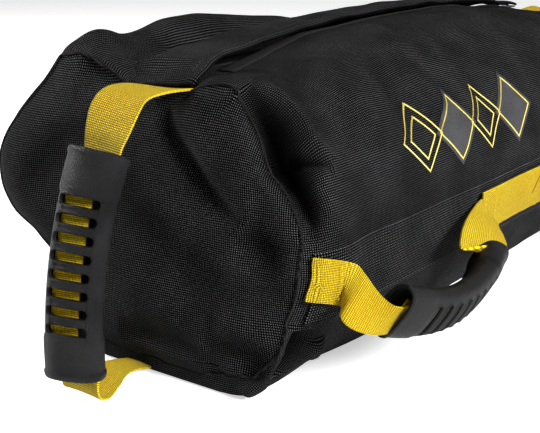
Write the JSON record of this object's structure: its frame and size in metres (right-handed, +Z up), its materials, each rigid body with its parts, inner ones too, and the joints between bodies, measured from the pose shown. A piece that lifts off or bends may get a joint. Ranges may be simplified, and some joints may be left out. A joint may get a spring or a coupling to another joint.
{
  "type": "sandbag trainer",
  "caption": "Filled cloth training bag with a flap-covered zip along the top and hinged strap handles with rubber grips on its sides and ends",
  "frame": {"origin": "on the floor under the middle of the bag", "axes": "X along the bag, Y across it towards its back side, Z up"},
  "size_m": [0.8238, 0.3958, 0.2285],
  "materials": {
    "black_cloth": "coarse woven black polyester, matt",
    "black_webbing": "heavy black webbing, matt",
    "yellow_webbing": "bright yellow woven webbing, matt",
    "black_rubber": "finely stippled moulded rubber",
    "zip_tape": "plain woven tape",
    "zip_chain": "moulded plastic coil",
    "zip_metal": "black painted die casting",
    "hook_strip": "stiff woven hooks",
    "loop_strip": "brushed pile",
    "filler_canvas": "tightly woven grey canvas"
  },
  "bodies": {
    "bag": {"body_cover": "black_cloth", "end_panel_near": "black_cloth", "end_panel_far": "black_cloth", "zip_tape_front": "zip_tape", "zip_tape_back": "zip_tape", "zip_chain": "zip_chain", "zip_stop_near": "zip_metal", "zip_stop_far": "zip_metal", "fastener_loop_strip": "loop_strip", "side_band_front": "black_webbing", "side_band_back": "black_webbing", "front_tab_near": "yellow_webbing", "front_middle_strip": "yellow_webbing", "front_tab_far": "yellow_webbing", "back_tab_near": "yellow_webbing", "back_middle_strip": "yellow_webbing", "back_tab_far": "yellow_webbing", "near_end_top_tab": "yellow_webbing", "near_end_bottom_tab": "yellow_webbing", "far_end_top_tab": "yellow_webbing", "far_end_bottom_tab": "yellow_webbing", "filler_bag_1": "filler_canvas", "filler_bag_2": "filler_canvas", "filler_bag_3": "filler_canvas", "filler_bag_4": "filler_canvas", "filler_seal_1": "loop_strip", "filler_seal_2": "loop_strip", "filler_seal_3": "loop_strip", "filler_seal_4": "loop_strip"},
    "cover_flap": {"cover_flap": "black_cloth", "fastener_hook_strip": "hook_strip"},
    "zip_slider": {"zip_slider": "zip_metal"},
    "zip_pull": {"zip_pull": "zip_metal"},
    "front_near_handle": {"front_near_loop": "yellow_webbing", "front_near_grip": "black_rubber"},
    "front_far_handle": {"front_far_loop": "yellow_webbing", "front_far_grip": "black_rubber"},
    "back_near_handle": {"back_near_loop": "yellow_webbing", "back_near_grip": "black_rubber"},
    "back_far_handle": {"back_far_loop": "yellow_webbing", "back_far_grip": "black_rubber"},
    "near_end_handle": {"near_end_loop": "yellow_webbing", "near_end_grip": "black_rubber"},
    "far_end_handle": {"far_end_loop": "yellow_webbing", "far_end_grip": "black_rubber"}
  },
  "joints": [
    {"name": "flap_lift", "type": "hinge", "parent": "bag", "child": "cover_flap", "pos_m": [0, 0.052, 0.21615], "axis": [-1, 0, 0], "range_deg": [0, 130]},
    {"name": "zip_slide", "type": "slide", "parent": "bag", "child": "zip_slider", "axis": [-1, 0, 0], "range_m": [0, 0.55]},
    {"name": "pull_flip", "type": "hinge", "parent": "zip_slider", "child": "zip_pull", "pos_m": [0.276, 0.018, 0.2163], "axis": [0, -1, 0], "range_deg": [0, 170]},
    {"name": "front_near_swing", "type": "hinge", "parent": "bag", "child": "front_near_handle", "pos_m": [-0.2025, -0.15442, 0.088], "axis": [1, 0, 0], "range_deg": [-116, 24]},
    {"name": "front_far_swing", "type": "hinge", "parent": "bag", "child": "front_far_handle", "pos_m": [0.2025, -0.15442, 0.088], "axis": [1, 0, 0], "range_deg": [-116, 24]},
    {"name": "back_near_swing", "type": "hinge", "parent": "bag", "child": "back_near_handle", "pos_m": [-0.2025, 0.15442, 0.088], "axis": [-1, 0, 0], "range_deg": [-116, 24]},
    {"name": "back_far_swing", "type": "hinge", "parent": "bag", "child": "back_far_handle", "pos_m": [0.2025, 0.15442, 0.088], "axis": [-1, 0, 0], "range_deg": [-116, 24]},
    {"name": "near_end_swing", "type": "hinge", "parent": "bag", "child": "near_end_handle", "pos_m": [-0.3449, 0, 0.11054], "axis": [0.1603, 0, 0.9871], "range_deg": [-70, 70]},
    {"name": "far_end_swing", "type": "hinge", "parent": "bag", "child": "far_end_handle", "pos_m": [0.3449, 0, 0.11054], "axis": [-0.1603, 0, 0.9871], "range_deg": [-70, 70]}
  ]
}
